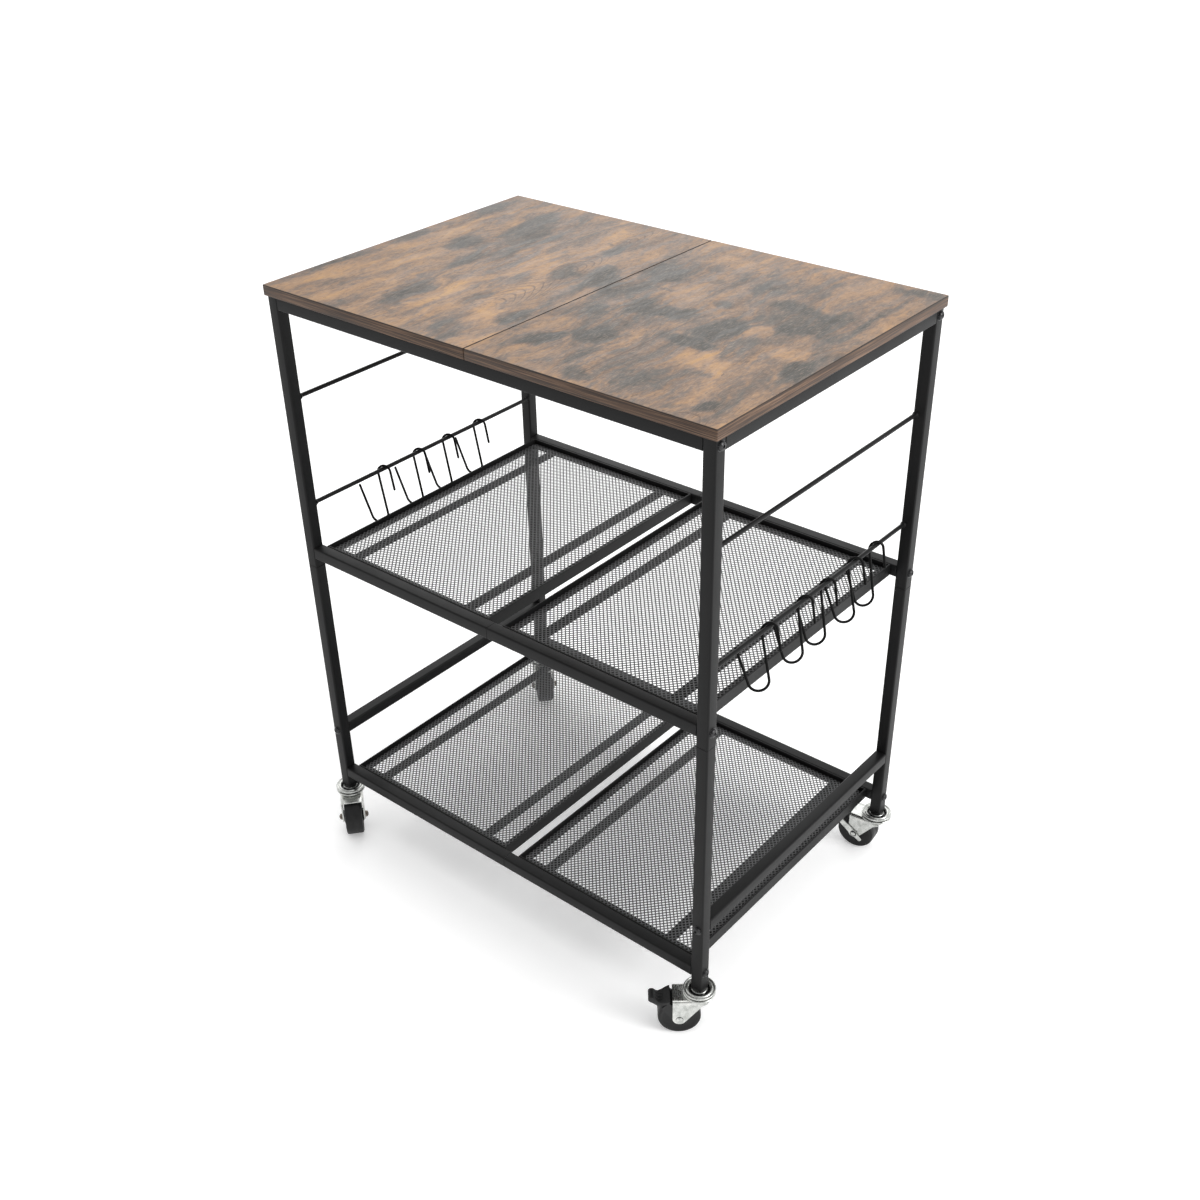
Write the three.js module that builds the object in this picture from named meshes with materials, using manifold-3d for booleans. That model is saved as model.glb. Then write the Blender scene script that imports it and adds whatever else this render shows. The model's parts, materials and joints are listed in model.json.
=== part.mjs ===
// Bar cart on four swivel casters: a steel tube frame, a two-piece wooden worktop, two mesh shelves
// in halves, thin side rods and S-hooks that hang from the lower rods.
// Millimetres, +Z up. The long side runs along X, the front faces -Y, the floor is z = 0.

import * as THREE from 'three';
import { mergeVertices } from 'three/addons/utils/BufferGeometryUtils.js';
import Module from 'manifold-3d';

const wasm = await Module();
wasm.setup();

// Driving dimensions
const WIDTH = 610;
const DEPTH = 413;
const HEIGHT = 762;
const BOARD = 12;
const BOARD_OVERHANG = 2.5;
const BOARD_SEAM = 0.6;
const TUBE = 15;
const TUBE_WALL = 1.2;
const TUBE_CORNER = 2;
const LEG_BOTTOM = 65;
const LEG_JOINT = 409;
const MID_SHELF_TOP = 436;
const LOW_SHELF_TOP = 97;
const LOWER_BAR_TOP = 164.5;
const ROD_RADIUS = 2.5;
const ROD_INSET = 12;
const UPPER_ROD_Z = 629;
const LOWER_ROD_Z = 492.5;
const FIT_GAP = 0.3;

// Sizes worked out from them
const LEG_OUT_X = WIDTH / 2 - BOARD_OVERHANG;
const LEG_OUT_Y = DEPTH / 2 - BOARD_OVERHANG;
const LEG_X = LEG_OUT_X - TUBE / 2;
const LEG_Y = LEG_OUT_Y - TUBE / 2;
const LEG_IN_X = LEG_OUT_X - TUBE;
const LEG_IN_Y = LEG_OUT_Y - TUBE;
const FRAME_TOP = HEIGHT - BOARD;
const ROD_X = LEG_OUT_X - ROD_INSET;

const SIDES = { left: -1, right: 1 };
const ENDS = { front: -1, rear: 1 };

const cart = new THREE.Group();

// Materials
const paintedSteel = () => new THREE.MeshStandardMaterial({ color: 0x2a2b2c, roughness: 0.62, metalness: 0.35 });
const diamondWire = () => new THREE.MeshStandardMaterial({ color: 0x3a3a3b, roughness: 0.6, metalness: 0.4 });
const rusticWood = () => new THREE.MeshStandardMaterial({ color: 0x7a5238, roughness: 0.6, metalness: 0 });
const zincSteel = () => new THREE.MeshStandardMaterial({ color: 0xc9ccc8, roughness: 0.3, metalness: 1 });
const blackPlastic = () => new THREE.MeshStandardMaterial({ color: 0x1c1c1e, roughness: 0.5, metalness: 0 });

function addPiece(name, geometry, material, parent = cart) {
  const mesh = new THREE.Mesh(geometry, material);
  mesh.name = name;
  parent.add(mesh);
  return mesh;
}

// Joining and cutting
function toSolid(geometry) {
  const bare = geometry.index ? geometry.toNonIndexed() : geometry.clone();
  bare.deleteAttribute('normal');
  bare.deleteAttribute('uv');
  const merged = mergeVertices(bare);
  return new wasm.Manifold(new wasm.Mesh({
    numProp: 3,
    vertProperties: new Float32Array(merged.attributes.position.array),
    triVerts: new Uint32Array(merged.index.array),
  }));
}

function toGeometry(solid) {
  const mesh = solid.getMesh();
  const geometry = new THREE.BufferGeometry();
  geometry.setAttribute('position', new THREE.BufferAttribute(mesh.vertProperties, 3));
  geometry.setIndex(new THREE.BufferAttribute(mesh.triVerts, 1));
  geometry.computeVertexNormals();
  return geometry;
}

const join = (first, ...others) => others.reduce((whole, next) => whole.add(next), first);
const cut = (first, ...others) => others.reduce((rest, next) => rest.subtract(next), first);

function block(x, y, z) {
  const size = [x, y, z].map(([low, high]) => high - low);
  const geometry = new THREE.BoxGeometry(...size);
  geometry.translate((x[0] + x[1]) / 2, (y[0] + y[1]) / 2, (z[0] + z[1]) / 2);
  return geometry;
}

// A cylinder along Y, centred at (x, z)
function crossPin(radius, x, z, y, segments = 16) {
  const geometry = new THREE.CylinderGeometry(radius, radius, y[1] - y[0], segments);
  geometry.translate(x, (y[0] + y[1]) / 2, z);
  return geometry;
}

// A flat plate cut to an outline in the XZ plane, with its thickness along Y
function sidePlate(outline, y, curveSegments = 6) {
  const plate = { depth: y[1] - y[0], bevelEnabled: false, curveSegments };
  const geometry = new THREE.ExtrudeGeometry(outline, plate);
  geometry.rotateX(Math.PI / 2);
  geometry.translate(0, y[1], 0);
  return geometry;
}

// Square tube
function roundedRectangle(low, high, corner) {
  const shape = new THREE.Shape();
  shape.absarc(high[0] - corner, high[1] - corner, corner, 0, Math.PI / 2);
  shape.absarc(low[0] + corner, high[1] - corner, corner, Math.PI / 2, Math.PI);
  shape.absarc(low[0] + corner, low[1] + corner, corner, Math.PI, Math.PI * 1.5);
  shape.absarc(high[0] - corner, low[1] + corner, corner, Math.PI * 1.5, Math.PI * 2);
  shape.closePath();
  return shape;
}

const tubeOutline = () => roundedRectangle([-TUBE / 2, -TUBE / 2], [TUBE / 2, TUBE / 2], TUBE_CORNER);

function squareTube(length) {
  const outline = tubeOutline();
  const inner = TUBE / 2 - TUBE_WALL;
  const hollow = new THREE.Path();
  hollow.moveTo(-inner, -inner);
  hollow.lineTo(-inner, inner);
  hollow.lineTo(inner, inner);
  hollow.lineTo(inner, -inner);
  hollow.closePath();
  outline.holes.push(hollow);
  return new THREE.ExtrudeGeometry(outline, { depth: length, bevelEnabled: false, curveSegments: 3 });
}

// A tube whose top end carries a plug that slides into the next tube
const PLUG_LENGTH = 30;

function pluggedTube(length) {
  const wallBite = 0.2;
  const inner = TUBE / 2 - TUBE_WALL;
  const root = [-(inner + wallBite), inner + wallBite];
  const plug = [-(inner - FIT_GAP), inner - FIT_GAP];
  return join(
    toSolid(squareTube(length)),
    toSolid(block(root, root, [length - PLUG_LENGTH, length])),
    toSolid(block(plug, plug, [length - PLUG_LENGTH, length + PLUG_LENGTH])),
  );
}

// Worktop: two boards that meet on the centre line
function buildWorktop() {
  const ease = 0.8;
  for (const [side, sign] of Object.entries(SIDES)) {
    const near = BOARD_SEAM / 2 + ease;
    const far = WIDTH / 2 - ease;
    const low = [sign > 0 ? near : -far, -DEPTH / 2 + ease];
    const high = [sign > 0 ? far : -near, DEPTH / 2 - ease];
    const outline = roundedRectangle(low, high, 0.6);
    const board = { depth: BOARD - 2 * ease, bevelThickness: ease, bevelSize: ease, bevelSegments: 1, curveSegments: 1 };
    const mesh = addPiece(`top_board_${side}`, new THREE.ExtrudeGeometry(outline, board), rusticWood());
    mesh.position.z = FRAME_TOP + ease;
  }
}

// Legs: an upper and a lower tube, with a threaded end for the caster's stem
const STEM_RADIUS = 4;
const LEG_INSERT = 24;

function lowerLegGeometry() {
  const length = LEG_JOINT - LEG_BOTTOM;
  const inner = TUBE / 2 - TUBE_WALL + 0.2;
  const insert = toSolid(block([-inner, inner], [-inner, inner], [0, LEG_INSERT]));
  const bore = new THREE.CylinderGeometry(STEM_RADIUS + FIT_GAP, STEM_RADIUS + FIT_GAP, 3 * LEG_INSERT, 16);
  bore.rotateX(Math.PI / 2);
  return toGeometry(cut(join(pluggedTube(length), insert), toSolid(bore)));
}

function buildLegs() {
  for (const [end, endSign] of Object.entries(ENDS)) {
    for (const [side, sideSign] of Object.entries(SIDES)) {
      const upper = addPiece(`upper_leg_${end}_${side}`, squareTube(FRAME_TOP - LEG_JOINT), paintedSteel());
      upper.position.set(sideSign * LEG_X, endSign * LEG_Y, LEG_JOINT);
      const lower = addPiece(`lower_leg_${end}_${side}`, lowerLegGeometry(), paintedSteel());
      lower.position.set(sideSign * LEG_X, endSign * LEG_Y, LEG_BOTTOM);
    }
  }
}

// Rails along X
function buildTopRails() {
  for (const [end, endSign] of Object.entries(ENDS)) {
    const rail = addPiece(`top_rail_${end}`, squareTube(2 * LEG_IN_X), paintedSteel());
    rail.rotation.y = Math.PI / 2;
    rail.position.set(-LEG_IN_X, endSign * LEG_Y, FRAME_TOP - TUBE / 2);
  }
}

function buildShelfRails(level, top) {
  for (const [end, endSign] of Object.entries(ENDS)) {
    const left = addPiece(`${level}_rail_${end}_left`, toGeometry(pluggedTube(LEG_IN_X)), paintedSteel());
    left.rotation.y = Math.PI / 2;
    left.position.set(-LEG_IN_X, endSign * LEG_Y, top - TUBE / 2);
    const right = addPiece(`${level}_rail_${end}_right`, squareTube(LEG_IN_X), paintedSteel());
    right.rotation.y = Math.PI / 2;
    right.position.set(0, endSign * LEG_Y, top - TUBE / 2);
  }
}

// Bars and rods along Y
function buildSideBars() {
  const heights = { top_side_bar: FRAME_TOP, lower_side_bar: LOWER_BAR_TOP };
  for (const [side, sign] of Object.entries(SIDES)) {
    for (const [name, top] of Object.entries(heights)) {
      const bar = addPiece(`${name}_${side}`, squareTube(2 * LEG_IN_Y), paintedSteel());
      bar.rotation.x = -Math.PI / 2;
      bar.position.set(sign * LEG_X, -LEG_IN_Y, top - TUBE / 2);
    }
  }
}

function buildRods() {
  const heights = { upper_rod: UPPER_ROD_Z, lower_rod: LOWER_ROD_Z };
  for (const [side, sign] of Object.entries(SIDES)) {
    for (const [name, z] of Object.entries(heights)) {
      const rod = crossPin(ROD_RADIUS, sign * ROD_X, z, [-LEG_IN_Y, LEG_IN_Y]);
      addPiece(`${name}_${side}`, rod, paintedSteel());
    }
  }
}

// Shelf halves: an angle-iron frame with two straps, and a sheet of diamond mesh lying in it
const SHELF_SIDE_GAP = 7.5;
const SHELF_CENTRE_GAP = 22;
const SHELF_DROP = 5;
const MESH_THICKNESS = 0.8;
const ANGLE_THICKNESS = 2;
const ANGLE_LEDGE = 12;
const STRAP_WIDTH = 14;
const STRAP_INSET = 41;

function shelfFrameGeometry(x, y, top) {
  const meshBottom = top - SHELF_DROP - MESH_THICKNESS;
  const ledge = [meshBottom - ANGLE_THICKNESS, meshBottom];
  const outer = block(x, y, [top - TUBE, top]);
  const shrink = ([low, high], inset) => [low + inset, high - inset];
  const aboveLedge = block(shrink(x, ANGLE_THICKNESS), shrink(y, ANGLE_THICKNESS), [ledge[1], top + 1]);
  const belowLedge = block(shrink(x, ANGLE_THICKNESS), shrink(y, ANGLE_THICKNESS), [top - TUBE - 1, ledge[0]]);
  const window = block(shrink(x, ANGLE_LEDGE), shrink(y, ANGLE_LEDGE), [top - TUBE, top]);
  const frame = cut(toSolid(outer), toSolid(aboveLedge), toSolid(belowLedge), toSolid(window));
  const straps = [x[0] + STRAP_INSET, x[1] - STRAP_INSET].map((centre) => toSolid(
    block([centre - STRAP_WIDTH / 2, centre + STRAP_WIDTH / 2], shrink(y, ANGLE_THICKNESS / 2), ledge),
  ));
  return toGeometry(join(frame, ...straps));
}

function buildShelf(level, top) {
  const near = SHELF_CENTRE_GAP / 2;
  const far = LEG_IN_X - SHELF_SIDE_GAP;
  const y = [-LEG_IN_Y, LEG_IN_Y];
  for (const [side, sign] of Object.entries(SIDES)) {
    const x = sign > 0 ? [near, far] : [-far, -near];
    addPiece(`${level}_shelf_frame_${side}`, shelfFrameGeometry(x, y, top), paintedSteel());
    const edge = ANGLE_THICKNESS + FIT_GAP;
    const sheetTop = top - SHELF_DROP;
    const sheet = block([x[0] + edge, x[1] - edge], [y[0] + edge, y[1] - edge], [sheetTop - MESH_THICKNESS, sheetTop]);
    addPiece(`${level}_shelf_mesh_${side}`, sheet, diamondWire());
  }
}

// S-hooks: one bent wire that rides on the lower rod. In its own plane the wire runs from the short
// end over the rod, down, round the cup and up the flared arm to the free tip.
const HOOK_WIRE = 1.4;
const HOOK_BEND = 8.2;
const HOOK_CUP = 11.1;
const HOOK_SHORT_ARM = 23.9;
const HOOK_LONG_ARM = 52.4;
const HOOK_TIP = 42.4;
const HOOK_FLARE = THREE.MathUtils.degToRad(9.2);
const HOOK_TILT = THREE.MathUtils.degToRad(-8);
const HOOK_REST_GAP = 0.45;
const HOOK_SHELF_GAP = 0.5;

class HookWire extends THREE.Curve {
  constructor() {
    super();
    const cupX = -HOOK_BEND - HOOK_CUP;
    const flareX = cupX - HOOK_CUP * Math.cos(HOOK_FLARE);
    const flareY = -HOOK_LONG_ARM - HOOK_CUP * Math.sin(HOOK_FLARE);
    const tipX = flareX - HOOK_TIP * Math.sin(HOOK_FLARE);
    const tipY = flareY + HOOK_TIP * Math.cos(HOOK_FLARE);
    const cupEnd = HOOK_FLARE - Math.PI;
    const centreline = new THREE.CurvePath();
    const corner = (p, q) => new THREE.Vector2(p, q);
    centreline.add(new THREE.LineCurve(corner(HOOK_BEND, -HOOK_SHORT_ARM), corner(HOOK_BEND, 0)));
    centreline.add(new THREE.EllipseCurve(0, 0, HOOK_BEND, HOOK_BEND, 0, Math.PI, false));
    centreline.add(new THREE.LineCurve(corner(-HOOK_BEND, 0), corner(-HOOK_BEND, -HOOK_LONG_ARM)));
    centreline.add(new THREE.EllipseCurve(cupX, -HOOK_LONG_ARM, HOOK_CUP, HOOK_CUP, 0, cupEnd, true));
    centreline.add(new THREE.LineCurve(corner(flareX, flareY), corner(tipX, tipY)));
    this.centreline = centreline;
  }

  getPoint(t, target = new THREE.Vector3()) {
    const flat = this.centreline.getPoint(t);
    flat.rotateAround(new THREE.Vector2(0, 0), HOOK_TILT);
    const bendBelowRod = HOOK_BEND - HOOK_WIRE - ROD_RADIUS - HOOK_REST_GAP;
    return target.set(flat.x, 0, flat.y - bendBelowRod);
  }
}

function hookGeometry() {
  const section = new THREE.Shape();
  section.absarc(0, 0, HOOK_WIRE, 0, Math.PI * 2);
  const wire = { steps: 44, curveSegments: 3, extrudePath: new HookWire() };
  return new THREE.ExtrudeGeometry(section, wire);
}

// The angle about the rod at which a hook hangs: its weight under the rod, or leaning on the shelf
function hangingAngle(turn, side) {
  const samples = 400;
  const points = new HookWire().getSpacedPoints(samples);
  const across = points.map((point) => [point.x * Math.cos(turn), point.z]);
  const weightX = across.reduce((sum, [x]) => sum + x, 0);
  const weightZ = across.reduce((sum, [, z]) => sum + z, 0);
  const shelfTop = MID_SHELF_TOP - LOWER_ROD_Z + HOOK_WIRE;
  const shelfFace = ROD_X - (LEG_IN_X - SHELF_SIDE_GAP) - HOOK_WIRE - HOOK_SHELF_GAP;
  const clears = (angle) => across.every(([x, z]) => {
    const turnedX = x * Math.cos(angle) + z * Math.sin(angle);
    const turnedZ = z * Math.cos(angle) - x * Math.sin(angle);
    return turnedZ > shelfTop || side * turnedX > -shelfFace;
  });
  const step = THREE.MathUtils.degToRad(0.1);
  let angle = Math.atan2(weightX, -weightZ);
  while (!clears(angle)) {
    angle -= side * step;
  }
  return angle;
}

function buildHooks() {
  const open = THREE.MathUtils.degToRad(63);
  const wide = THREE.MathUtils.degToRad(49);
  const narrow = THREE.MathUtils.degToRad(40);
  const rows = {
    left: [[-79, open], [-18, open], [34.7, open], [92.2, open]],
    right: [[-85.2, wide], [-18, narrow], [26.5, narrow], [82.5, wide], [127.5, narrow]],
  };
  for (const [side, row] of Object.entries(rows)) {
    row.forEach(([y, fromRod], index) => {
      const turn = Math.PI / 2 - fromRod;
      const pivot = new THREE.Group();
      pivot.position.set(SIDES[side] * ROD_X, y, LOWER_ROD_Z);
      pivot.rotation.y = hangingAngle(turn, SIDES[side]);
      const hook = addPiece(`hook_${side}_${index + 1}`, hookGeometry(), paintedSteel(), pivot);
      hook.rotation.z = turn;
      cart.add(pivot);
    });
  }
}

// Casters: each is built round its swivel axis with the wheel trailing along +X
const WHEEL_RADIUS = 25;
const WHEEL_HALF_WIDTH = 11.5;
const TRAIL = 23;
const AXLE_RADIUS = 4;
const FORK_INNER = 13.5;
const FORK_OUTER = 15.3;
const FORK_TOP = 53.8;
const FORK_PLATE = 1.8;
const FORK_FRONT = -14;
const FORK_BACK = 31;
const RACE_RADIUS = 18.3;
const LEVER_OUTER = 17;

function turned(profile, segments = 18) {
  const geometry = new THREE.LatheGeometry(profile.map(([r, z]) => new THREE.Vector2(r, z)), segments);
  geometry.rotateX(Math.PI / 2);
  return geometry;
}

// Stem, the dish it carries and the riveted end that holds the fork on
function casterStemGeometry() {
  return turned([
    [0, 49.6], [6.5, 49.6], [6.5, 51.6], [STEM_RADIUS, 51.6], [STEM_RADIUS, 54.6], [11, 54.6],
    [12.6, 58.9], [RACE_RADIUS, 58.9], [RACE_RADIUS, 60.6], [16.9, 62], [13.9, 62], [12.2, 60.2],
    [11, 56.2], [6.5, 56.2], [6.5, LEG_BOTTOM], [STEM_RADIUS, LEG_BOTTOM], [STEM_RADIUS, 88], [0, 88],
  ]);
}

function casterForkGeometry(headInner) {
  const plateOutline = roundedRectangle([FORK_FRONT, -FORK_OUTER], [FORK_BACK, FORK_OUTER], 6);
  const plate = new THREE.ExtrudeGeometry(plateOutline, { depth: FORK_PLATE, bevelEnabled: false, curveSegments: 4 });
  plate.translate(0, 0, FORK_TOP - FORK_PLATE);
  const kingpinHole = new THREE.CylinderGeometry(STEM_RADIUS + FIT_GAP, STEM_RADIUS + FIT_GAP, 4 * FORK_PLATE, 16);
  kingpinHole.rotateX(Math.PI / 2);
  kingpinHole.translate(0, 0, FORK_TOP);
  const lowerRace = turned([
    [13.3, 53], [16.2, 53], [17.2, 55.2], [RACE_RADIUS, 55.2], [RACE_RADIUS, 57.4], [17.3, 58.5], [13.3, 58.5], [13.3, 53],
  ]);
  const cheek = new THREE.Shape();
  cheek.moveTo(FORK_FRONT + 4, FORK_TOP - 0.4);
  cheek.lineTo(TRAIL - 5.5, WHEEL_RADIUS - 5);
  cheek.absarc(TRAIL, WHEEL_RADIUS + 1, 8, Math.PI * 1.27, Math.PI * 1.75);
  cheek.lineTo(FORK_BACK, WHEEL_RADIUS);
  cheek.lineTo(FORK_BACK, FORK_TOP - 0.4);
  cheek.closePath();
  const axle = crossPin(AXLE_RADIUS, TRAIL, WHEEL_RADIUS, [-headInner - 1, headInner + 1]);
  const heads = [[headInner, headInner + 3], [-headInner - 3, -headInner]];
  return toGeometry(join(
    cut(toSolid(plate), toSolid(kingpinHole)),
    toSolid(lowerRace),
    toSolid(sidePlate(cheek, [FORK_INNER, FORK_OUTER])),
    toSolid(sidePlate(cheek, [-FORK_OUTER, -FORK_INNER])),
    toSolid(axle),
    ...heads.map((y) => toSolid(crossPin(5.5, TRAIL, WHEEL_RADIUS, y, 6))),
  ));
}

function wheelGeometry(hub) {
  const bore = AXLE_RADIUS + FIT_GAP;
  const profile = [
    [bore, -hub], [8.5, -hub], [8.5, -11], [19.5, -10.4], [21, -WHEEL_HALF_WIDTH], [23.8, -WHEEL_HALF_WIDTH],
    [WHEEL_RADIUS, -9.6], [WHEEL_RADIUS, 9.6], [23.8, WHEEL_HALF_WIDTH], [21, WHEEL_HALF_WIDTH], [19.5, 10.4],
    [8.5, 11], [8.5, hub], [bore, hub], [bore, -hub],
  ];
  return new THREE.LatheGeometry(profile.map(([r, y]) => new THREE.Vector2(r, y)), 24);
}

// Brake pedal of moulded plastic: a tab over the wheel's back, on two cheeks that pivot on the axle
function plasticPedalGeometry() {
  const clear = WHEEL_RADIUS + 1.2;
  const cheekInner = WHEEL_HALF_WIDTH + FIT_GAP;
  const cheekOuter = FORK_INNER - FIT_GAP;
  const tab = new THREE.Shape();
  tab.moveTo(27.5, 10.8);
  tab.lineTo(31.5, 14);
  tab.lineTo(35.6, 22);
  tab.absarc(33.4, 26.2, 2.6, -0.6, Math.PI * 0.75);
  tab.lineTo(25, 23.4);
  tab.lineTo(18, 24.6);
  tab.lineTo(10.6, 28);
  tab.absarc(0, 0, clear, 1.16, 0.4, true);
  tab.closePath();
  const arm = new THREE.Shape();
  arm.moveTo(-4, 5);
  arm.lineTo(5, -4.5);
  arm.lineTo(25.6, 11.2);
  arm.lineTo(12, 25.4);
  arm.closePath();
  const cheeks = [[cheekInner, cheekOuter], [-cheekOuter, -cheekInner]].flatMap((y) => [
    toSolid(sidePlate(arm, y)),
    toSolid(crossPin(6.8, 0, 0, y)),
  ]);
  const bore = toSolid(crossPin(AXLE_RADIUS + FIT_GAP, 0, 0, [-FORK_OUTER, FORK_OUTER]));
  const body = toSolid(sidePlate(tab, [-cheekOuter, cheekOuter]));
  return toGeometry(cut(join(body, ...cheeks), bore));
}

// Brake lever of folded steel: two arms outside the fork and a tread plate behind the wheel
function steelLeverGeometry() {
  const armInner = FORK_OUTER + FIT_GAP;
  const lift = THREE.MathUtils.degToRad(36);
  const arm = new THREE.Shape();
  arm.moveTo(-13, -2.4);
  arm.lineTo(18, -4);
  arm.lineTo(38, -3);
  arm.lineTo(38, 1.5);
  arm.lineTo(18, 4);
  arm.lineTo(-13, 2.4);
  arm.closePath();
  const tread = new THREE.Shape();
  tread.moveTo(26.6, -1.6);
  tread.lineTo(38, -1.6);
  tread.lineTo(41, 1);
  tread.lineTo(39.5, 1.6);
  tread.lineTo(37.4, 0);
  tread.lineTo(26.6, 0);
  tread.closePath();
  const arms = [[armInner, LEVER_OUTER], [-LEVER_OUTER, -armInner]].flatMap((y) => [
    toSolid(sidePlate(arm, y)),
    toSolid(crossPin(6.8, 0, 0, y)),
  ]);
  const bore = toSolid(crossPin(AXLE_RADIUS + FIT_GAP, 0, 0, [-LEVER_OUTER - 1, LEVER_OUTER + 1]));
  const geometry = toGeometry(cut(join(...arms, toSolid(sidePlate(tread, [-LEVER_OUTER, LEVER_OUTER]))), bore));
  geometry.rotateY(-lift);
  return geometry;
}

function buildCaster(end, side, trailing, brake) {
  const caster = new THREE.Group();
  caster.position.set(SIDES[side] * LEG_X, ENDS[end] * LEG_Y, 0);
  caster.rotation.z = Math.atan2(trailing[1], trailing[0]);
  cart.add(caster);
  const corner = `${end}_${side}`;
  addPiece(`caster_stem_${corner}`, casterStemGeometry(), zincSteel(), caster);
  const headInner = brake === 'steel' ? LEVER_OUTER + FIT_GAP : FORK_OUTER - FIT_GAP;
  addPiece(`caster_fork_${corner}`, casterForkGeometry(headInner), zincSteel(), caster);
  const hub = brake === 'plastic' ? WHEEL_HALF_WIDTH : FORK_INNER - FIT_GAP;
  const wheel = addPiece(`caster_wheel_${corner}`, wheelGeometry(hub), blackPlastic(), caster);
  wheel.position.set(TRAIL, 0, WHEEL_RADIUS);
  if (brake) {
    const plastic = brake === 'plastic';
    const geometry = plastic ? plasticPedalGeometry() : steelLeverGeometry();
    const pedal = addPiece(`brake_pedal_${corner}`, geometry, plastic ? blackPlastic() : zincSteel(), caster);
    pedal.position.set(TRAIL, 0, WHEEL_RADIUS);
  }
}

function buildCasters() {
  buildCaster('front', 'right', [-0.77, -0.64], 'plastic');
  buildCaster('rear', 'right', [-0.995, -0.11], 'steel');
  buildCaster('front', 'left', [0.766, -0.643], null);
  buildCaster('rear', 'left', [0.731, -0.682], null);
}

buildWorktop();
buildLegs();
buildTopRails();
buildShelfRails('mid', MID_SHELF_TOP);
buildShelfRails('low', LOW_SHELF_TOP);
buildSideBars();
buildRods();
buildShelf('mid', MID_SHELF_TOP);
buildShelf('low', LOW_SHELF_TOP);
buildHooks();
buildCasters();

export default cart;
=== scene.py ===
"""A bar cart on wheels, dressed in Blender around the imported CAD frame. Metres, +Z up, front faces -Y."""
import json
import math

import bmesh
import bpy
from mathutils import Matrix, Vector


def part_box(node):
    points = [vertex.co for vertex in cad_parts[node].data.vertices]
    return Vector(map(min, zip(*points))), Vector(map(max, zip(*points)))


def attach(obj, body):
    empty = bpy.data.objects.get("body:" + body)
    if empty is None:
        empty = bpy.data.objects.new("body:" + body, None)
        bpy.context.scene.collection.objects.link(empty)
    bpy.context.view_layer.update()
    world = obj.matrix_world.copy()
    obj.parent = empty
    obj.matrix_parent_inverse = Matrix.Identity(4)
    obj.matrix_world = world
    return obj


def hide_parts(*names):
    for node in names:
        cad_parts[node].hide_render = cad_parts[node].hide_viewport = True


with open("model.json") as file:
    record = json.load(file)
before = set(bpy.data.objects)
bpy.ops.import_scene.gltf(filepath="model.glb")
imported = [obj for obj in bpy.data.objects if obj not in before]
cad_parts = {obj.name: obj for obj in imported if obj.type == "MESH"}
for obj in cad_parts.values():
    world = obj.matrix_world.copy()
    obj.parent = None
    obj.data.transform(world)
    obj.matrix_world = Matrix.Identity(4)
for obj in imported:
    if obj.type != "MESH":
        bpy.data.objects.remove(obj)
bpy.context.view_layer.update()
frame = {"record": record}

MM = 0.001
FRAME_BODY = "cart_frame"
JOINTS = {joint["name"]: joint for joint in frame["record"]["behaviour"]["joints"]}
NODES = [entry["node"] for entry in frame["record"]["subparts"]]
CORNERS = ("front_left", "front_right", "rear_left", "rear_right")


def box_of(node):
    """The lowest and highest corners of a node's CAD box."""
    return [Vector(corner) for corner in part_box(node)]


# ---- camera, light and floor

def build_camera():
    """A three-quarter view from above, over the front right corner."""
    azimuth, elevation, roll = (math.radians(a) for a in (40.213, 33.686, -1.2249))
    back = Vector((
        math.sin(azimuth) * math.cos(elevation),
        -math.cos(azimuth) * math.cos(elevation),
        math.sin(elevation),
    ))
    level_right = Vector((math.cos(azimuth), math.sin(azimuth), 0))
    level_up = back.cross(level_right)
    right = math.cos(roll) * level_right + math.sin(roll) * level_up
    up = back.cross(right)
    data = bpy.data.cameras.new("camera")
    data.lens = 42.64
    data.sensor_width = 36
    data.shift_x = -0.0041
    data.shift_y = 0.0386
    camera = bpy.data.objects.new("camera", data)
    turn = Matrix((right, up, back)).transposed().to_4x4()
    eye = (0.95006, -1.1254, 1.28635)
    camera.matrix_world = Matrix.Translation(eye) @ turn
    bpy.context.scene.collection.objects.link(camera)
    bpy.context.scene.camera = camera


def area_light(name, place, target, size, power):
    data = bpy.data.lights.new(name, "AREA")
    data.shape = "DISK"
    data.size = size
    data.energy = power
    light = bpy.data.objects.new(name, data)
    light.location = place
    light.rotation_mode = "QUATERNION"
    light.rotation_quaternion = (Vector(target) - Vector(place)).to_track_quat("-Z", "Y")
    bpy.context.scene.collection.objects.link(light)


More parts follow.
